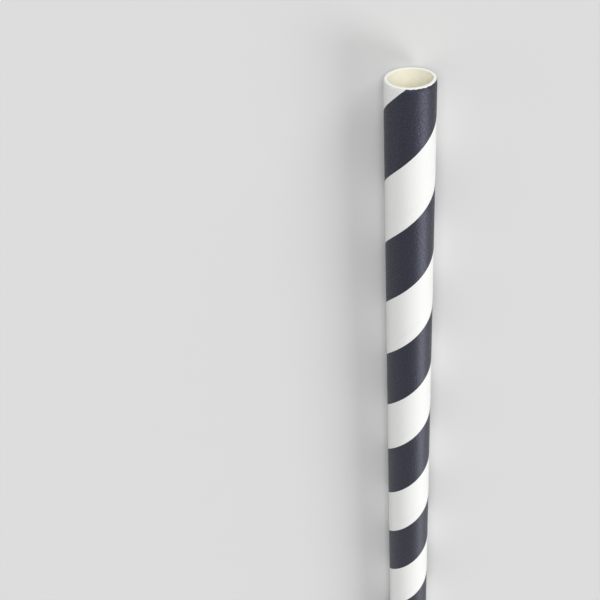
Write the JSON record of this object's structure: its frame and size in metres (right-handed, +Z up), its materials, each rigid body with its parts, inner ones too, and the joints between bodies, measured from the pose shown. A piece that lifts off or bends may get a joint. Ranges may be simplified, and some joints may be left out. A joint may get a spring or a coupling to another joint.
{
  "type": "paper drinking straw",
  "caption": "Slim round tube of wound paper, open at both ends, to drink through. A dark stripe climbs it on white in a right-handed helix.",
  "frame": {"origin": "under the middle of the straw, on the surface it lies on", "axes": "+X along the straw, towards the end seen in the picture; +Z up, away from the surface it lies on"},
  "size_m": [0.197, 0.006, 0.0061],
  "materials": {
    "white_paper": "matte",
    "dark_paper": "satin"
  },
  "bodies": {
    "root": {"paper_tube": "white_paper", "dark_stripe": "dark_paper"}
  },
  "joints": []
}
